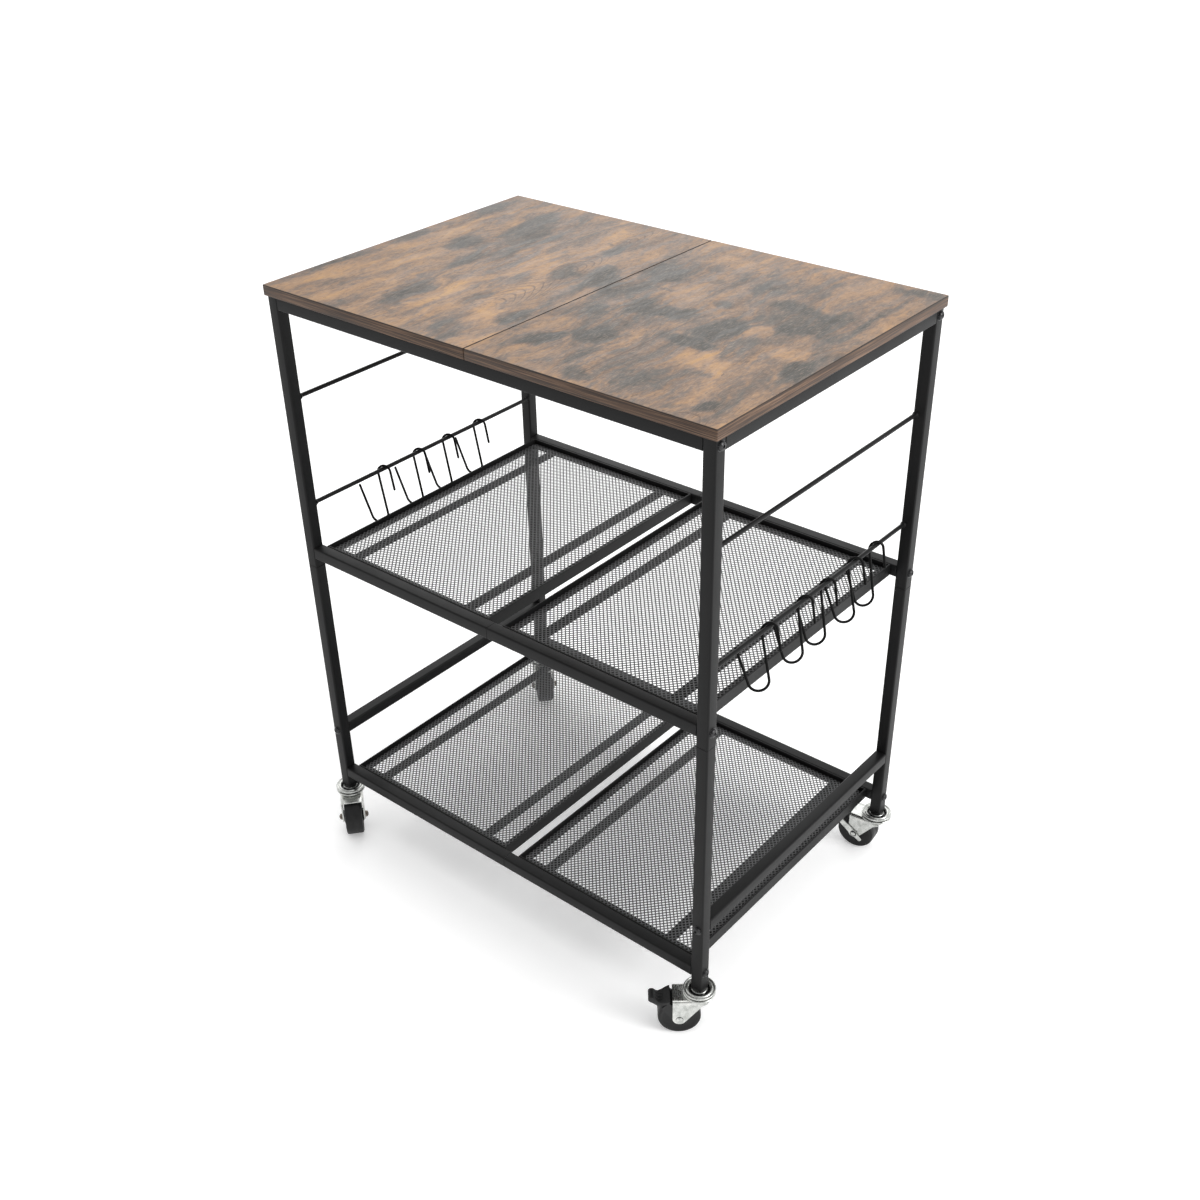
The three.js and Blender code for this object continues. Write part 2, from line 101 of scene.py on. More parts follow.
def build_studio():
    scene = bpy.context.scene
    scene.view_settings.view_transform = "Standard"
    scene.view_settings.exposure = 0.10
    world = bpy.data.worlds.new("studio")
    world.use_nodes = True
    background = world.node_tree.nodes["Background"]
    sky = Graph(world.node_tree)
    towards = sky.split(sky.tree.nodes.new("ShaderNodeTexCoord").outputs["Generated"])
    ahead = sky.math("SUBTRACT", towards[1], sky.math("MULTIPLY", towards[0], 0.2))
    in_front = sky.remap(ahead, -0.55, 0.05, 1.0, 0.0)
    above_horizon = sky.remap(towards[2], 0.08, 0.40)
    dim = sky.math("MULTIPLY", in_front, above_horizon)
    dimmed = (0.45, 0.45, 0.45)
    sky.link(sky.ramp(dim, [(0.0, (1, 1, 1)), (1.0, dimmed)]), background.inputs["Color"])
    background.inputs["Strength"].default_value = 0.98
    scene.world = world
    middle = (0, 0, 0.4)
    area_light("back", (-2.2, 2.6, 2.7), middle, 2.4, 24)
    area_light("side", (3.0, 0.6, 1.7), middle, 1.8, 54)
    area_light("top", (0.6, -0.4, 3.2), middle, 2.0, 12)
    half = 60.0
    mesh = bpy.data.meshes.new("floor")
    corners = [(-half, -half, 0), (half, -half, 0), (half, half, 0), (-half, half, 0)]
    mesh.from_pydata(corners, [], [(0, 1, 2, 3)])
    floor = bpy.data.objects.new("floor", mesh)
    material, graph, shader = new_material("floor_white")
    shade = graph.noise(graph.object_coords(), 3.0, 2.0)
    shader.inputs["Roughness"].default_value = 0.9
    shader.inputs["Specular IOR Level"].default_value = 0.1
    white = graph.ramp(shade, [(0.3, (0.93, 0.93, 0.93)), (0.7, (0.95, 0.95, 0.95))])
    graph.link(white, shader.inputs["Base Color"])
    shader.inputs["Emission Color"].default_value = (1, 1, 1, 1)
    shader.inputs["Emission Strength"].default_value = 0.25
    mesh.materials.append(material)
    scene.collection.objects.link(floor)


# ---- material graph helpers

class Graph:
    """Short calls for the shader nodes used here."""

    def __init__(self, tree):
        self.tree = tree

    def link(self, output, socket):
        self.tree.links.new(output, socket)

    def put(self, socket, value):
        if isinstance(value, bpy.types.NodeSocket):
            self.link(value, socket)
        else:
            socket.default_value = value

    def object_coords(self):
        return self.tree.nodes.new("ShaderNodeTexCoord").outputs["Object"]

    def scaled(self, vector, scale, offset=(0, 0, 0)):
        node = self.tree.nodes.new("ShaderNodeMapping")
        node.inputs["Scale"].default_value = scale
        node.inputs["Location"].default_value = offset
        self.link(vector, node.inputs["Vector"])
        return node.outputs["Vector"]

    def noise(self, vector, scale, detail=2.0, roughness=0.5, distortion=0.0):
        node = self.tree.nodes.new("ShaderNodeTexNoise")
        self.link(vector, node.inputs["Vector"])
        node.inputs["Scale"].default_value = scale
        node.inputs["Detail"].default_value = detail
        node.inputs["Roughness"].default_value = roughness
        node.inputs["Distortion"].default_value = distortion
        return node.outputs["Fac"]

    def noise_vector(self, vector, scale, detail=2.0):
        node = self.tree.nodes.new("ShaderNodeTexNoise")
        self.link(vector, node.inputs["Vector"])
        node.inputs["Scale"].default_value = scale
        node.inputs["Detail"].default_value = detail
        return node.outputs["Color"]

    def math(self, operation, first, second=0.0):
        node = self.tree.nodes.new("ShaderNodeMath")
        node.operation = operation
        self.put(node.inputs[0], first)
        self.put(node.inputs[1], second)
        return node.outputs[0]

    def vector_math(self, operation, first, second):
        node = self.tree.nodes.new("ShaderNodeVectorMath")
        node.operation = operation
        self.put(node.inputs[0], first)
        self.put(node.inputs[1], second)
        return node.outputs["Value" if operation == "LENGTH" else "Vector"]

    def split(self, vector):
        node = self.tree.nodes.new("ShaderNodeSeparateXYZ")
        self.link(vector, node.inputs[0])
        return node.outputs

    def ramp(self, factor, stops):
        node = self.tree.nodes.new("ShaderNodeValToRGB")
        elements = node.color_ramp.elements
        while len(elements) < len(stops):
            elements.new(0.5)
        for element, (position, colour) in zip(elements, stops):
            element.position = position
            element.color = (*colour, 1)
        self.link(factor, node.inputs["Fac"])
        return node.outputs["Color"]

    def remap(self, value, low, high, to_low=0.0, to_high=1.0):
        node = self.tree.nodes.new("ShaderNodeMapRange")
        node.interpolation_type = "SMOOTHSTEP"
        for socket, number in zip(node.inputs, (value, low, high, to_low, to_high)):
            self.put(socket, number)
        return node.outputs["Result"]

    def mix(self, factor, first, second):
        node = self.tree.nodes.new("ShaderNodeMix")
        node.data_type = "RGBA"
        self.put(node.inputs[0], factor)
        self.put(node.inputs[6], first)
        self.put(node.inputs[7], second)
        return node.outputs[2]

    def bump(self, height, strength, distance):
        node = self.tree.nodes.new("ShaderNodeBump")
        node.inputs["Strength"].default_value = strength
        node.inputs["Distance"].default_value = distance
        self.link(height, node.inputs["Height"])
        return node.outputs["Normal"]


def new_material(name):
    material = bpy.data.materials.new(name)
    material.use_nodes = True
    return material, Graph(material.node_tree), material.node_tree.nodes["Principled BSDF"]


# ---- materials

def powder_coat(name, tone=0.008, roughness=0.42, shine=0.15):
    """Fine matte powder coat on steel: orange-peel skin, faint cloudiness, dust-grey specks."""
    material, graph, shader = new_material(name)
    place = graph.object_coords()
    cloud = graph.noise(place, 9.0, 3.0)
    speck = graph.noise(place, 2600.0, 1.0)
    dark = tuple(tone * k for k in (0.80, 0.82, 0.84))
    light = tuple(tone * k for k in (1.22, 1.22, 1.24))
    base = graph.ramp(cloud, [(0.32, dark), (0.70, light)])
    dust = graph.remap(speck, 0.62, 0.78, 0.0, 0.35)
    graph.link(graph.mix(dust, base, (tone * 3.2, tone * 3.2, tone * 3.3, 1)), shader.inputs["Base Color"])
    skin = graph.noise(place, 1400.0, 2.0)
    graph.link(graph.remap(cloud, 0.3, 0.7, roughness - 0.04, roughness + 0.08), shader.inputs["Roughness"])
    graph.link(graph.bump(skin, 0.25, 0.0002), shader.inputs["Normal"])
    shader.inputs["Specular IOR Level"].default_value = shine
    return material


def zinc_plate(name):
    """Bright zinc plate: a milky metal with faint blotches and fine rolling marks."""
    material, graph, shader = new_material(name)
    place = graph.object_coords()
    blotch = graph.noise(place, 120.0, 3.0, 0.55, 0.4)
    base = graph.ramp(blotch, [
        (0.30, (0.40, 0.41, 0.39)), (0.52, (0.58, 0.59, 0.57)), (0.74, (0.72, 0.72, 0.69)),
    ])
    graph.link(base, shader.inputs["Base Color"])
    shader.inputs["Metallic"].default_value = 1.0
    scratch = graph.noise(graph.scaled(place, (900, 120, 900)), 1.0, 3.0)
    graph.link(graph.remap(scratch, 0.3, 0.75, 0.24, 0.36), shader.inputs["Roughness"])
    graph.link(graph.bump(scratch, 0.02, 0.0001), shader.inputs["Normal"])
    return material


def moulded_plastic(name, tone=0.013, roughness=0.42, grain=1800.0):
    """Black moulded plastic: fine spark-eroded grain and a little dust."""
    material, graph, shader = new_material(name)
    place = graph.object_coords()
    cloud = graph.noise(place, 60.0, 3.0)
    base = graph.ramp(cloud, [(0.3, (tone * 0.8,) * 3), (0.75, (tone * 1.7, tone * 1.7, tone * 1.75))])
    graph.link(base, shader.inputs["Base Color"])
    graph.link(graph.remap(cloud, 0.3, 0.75, roughness - 0.05, roughness + 0.12), shader.inputs["Roughness"])
    graph.link(graph.bump(graph.noise(place, grain, 2.0), 0.2, 0.00015), shader.inputs["Normal"])
    shader.inputs["Specular IOR Level"].default_value = 0.30
    return material


def bolt_steel(name):
    """Black-oxide steel of the socket bolts, with worn brighter rims."""
    material, graph, shader = new_material(name)
    place = graph.object_coords()
    worn = graph.noise(place, 700.0, 3.0)
    base = graph.ramp(worn, [(0.45, (0.006, 0.006, 0.007)), (0.85, (0.040, 0.040, 0.042))])
    graph.link(base, shader.inputs["Base Color"])
    shader.inputs["Metallic"].default_value = 0.2
    graph.link(graph.remap(worn, 0.3, 0.8, 0.22, 0.38), shader.inputs["Roughness"])
    return material


def nut_steel(name):
    """Lightly oiled brownish steel of the axle nuts."""
    material, graph, shader = new_material(name)
    place = graph.object_coords()
    worn = graph.noise(place, 500.0, 3.0)
    base = graph.ramp(worn, [
        (0.35, (0.060, 0.052, 0.044)), (0.60, (0.22, 0.19, 0.16)), (0.80, (0.42, 0.38, 0.33)),
    ])
    graph.link(base, shader.inputs["Base Color"])
    shader.inputs["Metallic"].default_value = 0.9
    graph.link(graph.remap(worn, 0.3, 0.8, 0.32, 0.48), shader.inputs["Roughness"])
    return material


# Joint between two printed planks, on the right half
PLANK_JOINT = 130 * MM
# Dark clouds of the printed wood, in mm on the worktop: centre, half lengths, how much darker
DARK_CLOUDS = (
    (-205, 130, 24, 85, 0.30), (-172, 70, 34, 55, 0.26), (-225, 30, 28, 20, 0.34), (-163, 18, 22, 34, 0.34),
    (-190, -12, 14, 44, 0.26), (-167, -112, 22, 40, 0.40), (-165, -150, 15, 26, 0.24),
    (-25, 26, 25, 44, 0.48),
    (-66, 26, 15, 34, 0.38), (-22, -110, 18, 28, 0.44), (-46, -182, 20, 34, 0.38), (-84, -98, 9, 26, 0.28),
    (-296, 0, 12, 40, 0.36), (-298, -95, 12, 55, 0.38), (-292, 150, 26, 55, 0.30), (-66, 104, 9, 14, 0.34),
    (20, 92, 26, 44, 0.46), (16, 20, 34, 36, 0.32), (92, -8, 52, 18, 0.48), (175, -12, 20, 36, 0.54),
    (165, -62, 34, 16, 0.50), (75, -100, 20, 24, 0.50), (40, -142, 14, 28, 0.44), (25, -60, 26, 26, 0.26),
    (230, 38, 70, 18, 0.30), (130, 46, 12, 12, 0.36), (282, 100, 9, 66, 0.26), (288, -60, 14, 24, 0.46),
    (264, -178, 10, 15, 0.44), (130, -188, 22, 16, 0.36), (275, 190, 32, 14, 0.34), (55, 42, 14, 5, 0.24),
    (150, -30, 200, 260, 0.16), (-150, 120, 130, 90, 0.08), (180, -160, 30, 30, 0.18),
    (100, -150, 12, 26, 0.18), (215, 72, 60, 26, 0.36), (150, 100, 30, 16, 0.18),
)
LIGHT_CLOUDS = (
    (-128, -118, 17, 44, 0.26), (-108, 30, 18, 58, 0.08), (-62, -45, 15, 30, 0.14), (-80, 165, 34, 40, 0.14),
    (-245, -60, 34, 70, 0.10), (-55, -115, 14, 34, 0.22), (210, -94, 36, 20, 0.36), (112, -80, 11, 46, 0.12),
    (88, 62, 16, 44, 0.14), (86, 160, 32, 34, 0.12), (232, -146, 42, 34, 0.10), (240, 150, 34, 36, 0.08),
    (208, 6, 16, 22, 0.26), (265, -25, 24, 20, 0.20), (60, -178, 20, 30, 0.18), (-15, -190, 16, 18, 0.20),
    (150, 165, 26, 24, 0.12), (110, -200, 10, 30, 0.16),
)
DARK_KNOTS = (
    (128, 148, 9, 10), (150, 124, 11, 8), (65, 117, 8, 9), (200, 162, 7, 12), (82, 90, 8, 6),
    (206, 134, 6, 10),
    (-152, -158, 19, 6), (-62, 108, 4, 12), (-86, 112, 7, 4), (245, -186, 7, 7), (60, -98, 6, 16),
)
# Cathedral figure: apex (x, y), how sharply the arches fall away, half lengths of the figure
ARCHES = (
    (-63, -8, 0.105, 36, 62), (-68, 82, 0.120, 26, 40), (-74, 188, 0.30, 26, 44), (268, -196, 0.06, 34, 24),
)
ARCH_SPACING = 15 * MM


def soft_spot(graph, place, x, y, half_x, half_y, inner=0.35, outer=1.3):
    """One inside an ellipse given in mm, falling softly to nothing outside it."""
    flat = graph.vector_math("SUBTRACT", place, (x * MM, y * MM, 0))
    unit = graph.vector_math("MULTIPLY", flat, (1 / (half_x * MM), 1 / (half_y * MM), 0))
    return graph.remap(graph.vector_math("LENGTH", unit, (0, 0, 0)), inner, outer, 1.0, 0.0)


def wander(graph, place, drift, reach):
    """The place moved both ways by a colour noise, by up to half of reach."""
    centred = graph.vector_math("SUBTRACT", drift, (0.5, 0.5, 0.5))
    return graph.vector_math("ADD", place, graph.vector_math("MULTIPLY", centred, reach))


def rustic_wood(name):
    """Printed rustic wood: tan and orange planks under charcoal clouds drawn out along Y, cathedral
    arches, small knots, fine fibres, saw marks across them and short dark cracks."""
    material, graph, shader = new_material(name)
    place = graph.object_coords()
    drift = graph.noise_vector(graph.scaled(place, (1, 0.55, 1)), 26.0, 8.0)
    bent = wander(graph, place, drift, (0.046, 0.070, 0))
    slow = graph.noise_vector(graph.scaled(place, (1, 0.5, 1)), 12.0, 1.5)
    gentle = wander(graph, place, slow, (0.016, 0.026, 0))

    cloud = graph.noise(graph.scaled(bent, (1.0, 0.34, 1.0)), 34.0, 8.0, 0.68, 0.4)
    mottle = graph.noise(graph.scaled(place, (1.0, 0.55, 1.0)), 210.0, 5.0, 0.62, 0.5)
    tone = graph.remap(cloud, 0.22, 0.78, 0.18, 0.84)
    tone = graph.math("ADD", tone, graph.remap(mottle, 0.25, 0.75, -0.10, 0.10))
    for x, y, half_x, half_y, amount in DARK_CLOUDS:
        spot = soft_spot(graph, bent, x, y, half_x, half_y)
        tone = graph.math("SUBTRACT", tone, graph.math("MULTIPLY", spot, amount))
    for x, y, half_x, half_y, amount in LIGHT_CLOUDS:
        spot = soft_spot(graph, bent, x, y, half_x, half_y)
        tone = graph.math("ADD", tone, graph.math("MULTIPLY", spot, amount))
    streak = graph.noise(graph.scaled(bent, (150, 15, 1)), 1.0, 5.0, 0.62)
    tone = graph.math("ADD", tone, graph.remap(streak, 0.25, 0.75, -0.13, 0.13))
    wood = graph.ramp(tone, [
        (0.00, (0.052, 0.048, 0.041)), (0.16, (0.082, 0.070, 0.058)), (0.34, (0.152, 0.104, 0.076)),
        (0.50, (0.238, 0.148, 0.090)), (0.68, (0.350, 0.206, 0.108)), (0.92, (0.455, 0.262, 0.108)),
    ])

    for x, y, half_x, half_y in DARK_KNOTS:
        knot = soft_spot(graph, bent, x, y, half_x, half_y, 0.5, 1.25)
        wood = graph.mix(graph.math("MULTIPLY", knot, 0.62), wood, (0.075, 0.068, 0.062, 1))

    x_of, y_of = graph.split(gentle)[0:2]
    waver = graph.noise(graph.scaled(gentle, (1, 0.4, 1), (1.3, 0.4, 0)), 30.0, 3.0)
    loose = graph.math("MULTIPLY", waver, 30 * MM)
    for x, y, fall, half_x, half_y in ARCHES:
        sideways = graph.math("SUBTRACT", x_of, x * MM)
        drop = graph.math("MULTIPLY", graph.math("MULTIPLY", sideways, sideways), fall / MM)
        height = graph.math("ADD", graph.math("SUBTRACT", y_of, y * MM), drop)
        phase = graph.math("MULTIPLY", graph.math("ADD", height, loose), 2 * math.pi / ARCH_SPACING)
        wave = graph.math("SINE", phase)
        line = graph.remap(wave, 0.66, 0.98, 0.0, 1.0)
        near = soft_spot(graph, place, x, y - half_y * 0.55, half_x, half_y, 0.55, 1.1)
        arch = graph.math("MULTIPLY", graph.math("MULTIPLY", line, near), 0.66)
        wood = graph.mix(arch, wood, (0.085, 0.055, 0.040, 1))

    fibre = graph.noise(graph.scaled(place, (1300, 120, 1)), 1.0, 3.0, 0.6)
    saw = graph.noise(graph.scaled(gentle, (70, 520, 1)), 1.0, 3.0, 0.55)
    crack = graph.noise(graph.scaled(gentle, (420, 110, 1)), 1.0, 3.0, 0.55, 0.6)
    where = graph.noise(graph.scaled(place, (1, 0.6, 1)), 22.0, 2.0)
    pale = graph.mix(graph.remap(fibre, 0.48, 0.76, 0.0, 0.34), wood, (0.52, 0.40, 0.30, 1))
    marks = graph.math("MULTIPLY", graph.remap(saw, 0.56, 0.70), graph.remap(where, 0.46, 0.60, 0.0, 0.42))
    sawn = graph.mix(marks, pale, (0.085, 0.062, 0.050, 1))
    cracked = graph.mix(graph.remap(crack, 0.63, 0.70, 0.0, 0.60), sawn, (0.055, 0.042, 0.036, 1))
    joint = graph.math("ABSOLUTE", graph.math("SUBTRACT", x_of, PLANK_JOINT))
    near_joint = graph.remap(joint, 0.4 * MM, 1.3 * MM, 0.55, 0.0)
    open_joint = graph.math("MULTIPLY", near_joint, graph.remap(y_of, -0.03, 0.01, 1.0, 0.0))
    graph.link(graph.mix(open_joint, cracked, (0.060, 0.046, 0.040, 1)), shader.inputs["Base Color"])
    relief = graph.math("ADD", graph.math("MULTIPLY", fibre, 0.7), graph.math("MULTIPLY", crack, -1.0))
    graph.link(graph.bump(relief, 0.28, 0.0003), shader.inputs["Normal"])
    graph.link(graph.remap(streak, 0.3, 0.7, 0.42, 0.58), shader.inputs["Roughness"])
    shader.inputs["Specular IOR Level"].default_value = 0.34
    return material


def edge_band(name, top):
    """Edge band: dark brown with lengthwise streaks and a darker line under the top face."""
    material, graph, shader = new_material(name)
    place = graph.object_coords()
    streak = graph.noise(graph.scaled(place, (14, 14, 900)), 1.0, 5.0, 0.6)
    base = graph.ramp(streak, [
        (0.34, (0.016, 0.011, 0.008)), (0.46, (0.052, 0.030, 0.019)), (0.57, (0.110, 0.064, 0.040)),
        (0.70, (0.205, 0.130, 0.085)),
    ])
    height = graph.split(place)[2]
    line = graph.remap(height, top - 1.6 * MM, top - 0.9 * MM, 0.0, 0.8)
    graph.link(graph.mix(line, base, (0.020, 0.015, 0.012, 1)), shader.inputs["Base Color"])
    graph.link(graph.bump(streak, 0.15, 0.0002), shader.inputs["Normal"])
    graph.link(graph.remap(streak, 0.3, 0.7, 0.42, 0.58), shader.inputs["Roughness"])
    shader.inputs["Specular IOR Level"].default_value = 0.30
    return material


# ---- mesh helpers

class Solid:
    """Collects closed shells of one piece."""

    def __init__(self):
        self.verts = []
        self.faces = []
        self.slots = []

    def add(self, verts, faces, slot=0):
        start = len(self.verts)
        self.verts.extend(Vector(v) for v in verts)
        self.faces.extend(tuple(start + i for i in face) for face in faces)
        self.slots.extend([slot] * len(faces))

    def loft(self, rings, slot=0, closed=False):
        """Skins closed rings of equal count in order; closed joins the last ring to the first."""
        count = len(rings[0])
        verts = [v for ring in rings for v in ring]
        faces = []
        pairs = len(rings) if closed else len(rings) - 1
        for r in range(pairs):
            here, there = r * count, ((r + 1) % len(rings)) * count
            for i in range(count):
                n = (i + 1) % count
                faces.append((here + i, here + n, there + n, there + i))
        if not closed:
            faces.append(tuple(reversed(range(count))))
            faces.append(tuple(range(len(verts) - count, len(verts))))
        self.add(verts, faces, slot)

    def lathe(self, profile, axis="Z", centre=(0, 0, 0), segments=48, slot=0):
        """Turns a closed (radius, height) profile about Z or Y; points with no radius share one vertex."""
        centre = Vector(centre)
        verts, rows = [], []
        for radius, height in profile:
            steps = segments if radius > 1e-7 else 1
            rows.append(list(range(len(verts), len(verts) + steps)))
            for k in range(steps):
                angle = 2 * math.pi * k / segments
                across, over = radius * math.cos(angle), radius * math.sin(angle)
                local = (across, over, height) if axis == "Z" else (across, height, over)
                verts.append(centre + Vector(local))
        faces = []
        ends_on_axis = profile[0][0] <= 1e-7
        pairs = list(zip(rows, rows[1:]))
        if not ends_on_axis:
            pairs.append((rows[-1], rows[0]))
        for low, high in pairs:
            for k in range(segments):
                n = k + 1
                face = [low[k % len(low)], low[n % len(low)], high[n % len(high)], high[k % len(high)]]
                face = list(dict.fromkeys(face))
                if len(face) > 2:
                    faces.append(tuple(face))
        self.add(verts, faces, slot)

    def prism(self, outline, low, high, ease=0.0):
        """Extrudes a closed XZ outline along Y, its end edges eased by a small chamfer."""
        rings = [(outline, low), (outline, high)]
        if ease:
            inner = inset(outline, ease)
            rings = [(inner, low), (outline, low + ease), (outline, high - ease), (inner, high)]
        self.loft([[(x, y, z) for x, z in ring] for ring, y in rings])

    def move(self, matrix):
        self.verts = [matrix @ v for v in self.verts]


def inset(outline, distance):
    """Moves each corner of a closed outline inwards along its mitre."""
    area = sum(a[0] * b[1] - b[0] * a[1] for a, b in zip(outline, outline[1:] + outline[:1]))
    sign = 1 if area > 0 else -1
    moved = []
    for k, point in enumerate(outline):
        before, after = Vector(outline[k - 1]), Vector(outline[(k + 1) % len(outline)])
        here = Vector(point)
        first, second = (here - before).normalized(), (after - here).normalized()
        normal_a = Vector((-first.y, first.x)) * sign
        normal_b = Vector((-second.y, second.x)) * sign
        mitre = (normal_a + normal_b).normalized()
        reach = distance / max(0.35, mitre.dot(normal_a))
        moved.append(tuple(here + mitre * reach))
    return moved


def rounded_square(half_a, half_b, corner, steps=6):
    outline = []
    for start, (sign_a, sign_b) in enumerate(((1, 1), (-1, 1), (-1, -1), (1, -1))):
        for k in range(steps + 1):
            angle = math.pi / 2 * (start + k / steps)
            outline.append((
                sign_a * (half_a - corner) + corner * math.cos(angle),
                sign_b * (half_b - corner) + corner * math.sin(angle),
            ))
    return outline


def make_piece(name, solid, materials, body, replaces=(), smooth=40.0, place=None):
    mesh = bpy.data.meshes.new(name)
    mesh.from_pydata(solid.verts, [], solid.faces)
    mesh.polygons.foreach_set("material_index", solid.slots)
    for material in materials:
        mesh.materials.append(material)
    build = bmesh.new()
    build.from_mesh(mesh)
    bmesh.ops.recalc_face_normals(build, faces=build.faces)
    build.to_mesh(mesh)
    build.free()
    mesh.shade_smooth()
    mesh.set_sharp_from_angle(angle=math.radians(smooth))
    return place_piece(name, mesh, body, replaces, place)


def place_piece(name, mesh, body, replaces=(), place=None):
    piece = bpy.data.objects.new(name, mesh)
    bpy.context.scene.collection.objects.link(piece)
    if place is not None:
        piece.matrix_world = place
    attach(piece, body)
    if replaces:
        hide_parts(*replaces)
    return piece


# ---- tube frame

TUBE_CORNER = 2.0 * MM


def tube_span(node):
    """The visible stretch of a tube: its CAD box without the plug that is hidden in the next tube."""
    low, high = box_of(node)
    if "_rail_" in node and node.endswith("_left"):
        high.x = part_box(node.replace("_left", "_right"))[0][0]
    if node.startswith("lower_leg"):
        high.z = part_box(node.replace("lower_leg", "upper_leg"))[0][2]
    return low, high


def build_tube(node, material):
    low, high = tube_span(node)
    size = high - low
    axis = list(size).index(max(size))
    across = [k for k in range(3) if k != axis]
    middle = (low + high) / 2
    half = [size[k] / 2 for k in across]
    ease = 0.45 * MM
    wall = 1.2 * MM
    depth = 6 * MM

    def ring(inset_by, corner, along):
        points = []
        for a, b in rounded_square(half[0] - inset_by, half[1] - inset_by, corner):
            point = Vector((0, 0, 0))
            point[across[0]] = middle[across[0]] + a
            point[across[1]] = middle[across[1]] + b
            point[axis] = along
            points.append(point)
        return points

    start, end = low[axis], high[axis]
    inner = max(TUBE_CORNER - wall, 0.3 * MM)
    rings = [
        ring(wall, inner, start + depth), ring(wall, inner, start), ring(ease, TUBE_CORNER - ease, start),
        ring(0, TUBE_CORNER, start + ease), ring(0, TUBE_CORNER, end - ease),
        ring(ease, TUBE_CORNER - ease, end), ring(wall, inner, end), ring(wall, inner, end - depth),
    ]
    solid = Solid()
    solid.loft(rings)
    make_piece(f"{node}_tube", solid, [material], FRAME_BODY, [node])


def build_rod(node, material):
    low, high = box_of(node)
    radius = (high.x - low.x) / 2
    centre = ((low.x + high.x) / 2, 0, (low.z + high.z) / 2)
    solid = Solid()
    solid.lathe([(0, low.y), (radius, low.y), (radius, high.y), (0, high.y)], "Y", centre, 28)
    for end, inwards in ((low.y, 1), (high.y, -1)):
        bead = [(radius * 0.6, end), (radius * 1.55, end), (radius * 1.42, end + inwards * 0.9 * MM),
                (radius * 1.12, end + inwards * 2.0 * MM), (radius * 0.6, end + inwards * 2.2 * MM)]
        solid.lathe(bead, "Y", centre, 28)
    make_piece(f"{node}_bar", solid, [material], FRAME_BODY, [node])


TUBE_PREFIXES = (
    "upper_leg", "lower_leg", "top_rail", "top_side_bar", "lower_side_bar", "mid_rail", "low_rail",
)


def build_frame(coat):
    for node in NODES:
        if node.startswith(TUBE_PREFIXES):
            build_tube(node, coat)
        elif node.startswith(("upper_rod", "lower_rod")):
            build_rod(node, coat)


# ---- bolts

def button_bolt(solid, place, outward):
    """Button-head bolt with a hex socket, on a thin washer. outward is the unit way out of the face."""
    way = Vector(outward)
    head, height, socket, sink = 4.9 * MM, 2.9 * MM, 1.7 * MM, 1.5 * MM
    part = Solid()
    base = 0.6 * MM
    part.lathe([(0, 0), (5.8 * MM, 0), (5.9 * MM, 0.3 * MM), (5.7 * MM, base), (0, base)], segments=32)
    rim = 0.5 * MM
    dome = [(0, base), (head, base), (head, base + rim)]
    dome += [
        (head * math.cos(a), base + rim + (height - rim) * math.sin(a))
        for a in (math.radians(d) for d in (15, 30, 45, 58))
    ]
    count = 36
    angles = [2 * math.pi * k / count for k in range(count)]
    rings = []
    for r, h in dome[1:]:
        rings.append([(r * math.cos(a), r * math.sin(a), h) for a in angles])

    def hexagon(radius, h):
        ring = []
        for angle in angles:
            flat = math.cos((angle % (math.pi / 3)) - math.pi / 6)
            reach = radius * math.cos(math.pi / 6) / flat
            ring.append((reach * math.cos(angle), reach * math.sin(angle), h))
        return ring

    rings += [hexagon(socket * 1.12, base + height), hexagon(socket, base + height - 0.2 * MM),
              hexagon(socket * 0.96, base + height - sink)]
    part.loft(rings)
    turn = Vector((0, 0, 1)).rotation_difference(way).to_matrix().to_4x4()
    part.move(Matrix.Translation(place) @ turn)
    solid.add(part.verts, part.faces)


def build_bolts(material):
    """Bolts on the legs' outer side faces at every rail, and on their end faces at the lower side bars."""
    for corner in CORNERS:
        low, high = box_of(f"upper_leg_{corner}")
        side = 1 if corner.endswith("right") else -1
        end = -1 if corner.startswith("front") else 1
        middle = (low + high) / 2
        end_name, side_name = corner.split("_")
        rails = [
            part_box(f"{level}_{end_name}{suffix}") for level, suffix in
            (("top_rail", ""), ("mid_rail", f"_{side_name}"), ("low_rail", f"_{side_name}"))
        ]
        solid = Solid()
        for box in rails:
            z = (box[0][2] + box[1][2]) / 2
            face = high.x if side > 0 else low.x
            button_bolt(solid, (face, middle.y, z), (side, 0, 0))
        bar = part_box(f"lower_side_bar_{side_name}")
        face = low.y if end < 0 else high.y
        button_bolt(solid, (middle.x, face, (bar[0][2] + bar[1][2]) / 2), (0, end, 0))
        make_piece(f"bolts_{corner}", solid, [material], FRAME_BODY)


# ---- worktop

def build_worktop():
    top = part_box("top_board_left")[1][2]
    face, band = rustic_wood("wood_top"), edge_band("wood_edge", top)
    for side in ("left", "right"):
        low, high = box_of(f"top_board_{side}")
        middle, half = (low + high) / 2, (high - low) / 2
        ease = 0.7 * MM
        steps = 3
        rows = [(ease, low.z)]
        rows += [(ease * (1 - math.sin(a)), low.z + ease * (1 - math.cos(a))) for a in
                 (math.pi / 2 * k / steps for k in range(1, steps + 1))]
        rows += [(ease * (1 - math.cos(a)), high.z - ease * (1 - math.sin(a))) for a in
                 (math.pi / 2 * k / steps for k in range(0, steps + 1))]
        rings = []
        for back, z in rows:
            outline = rounded_square(half.x - back, half.y - back, 1.2 * MM - back * 0.4, 3)
            rings.append([(middle.x + x, middle.y + y, z) for x, y in outline])
        solid = Solid()
        solid.loft(rings)
        solid.slots[:] = [1] * len(solid.slots)
        solid.slots[-1] = 0
        make_piece(f"worktop_{side}", solid, [face, band], FRAME_BODY, [f"top_board_{side}"], 30)


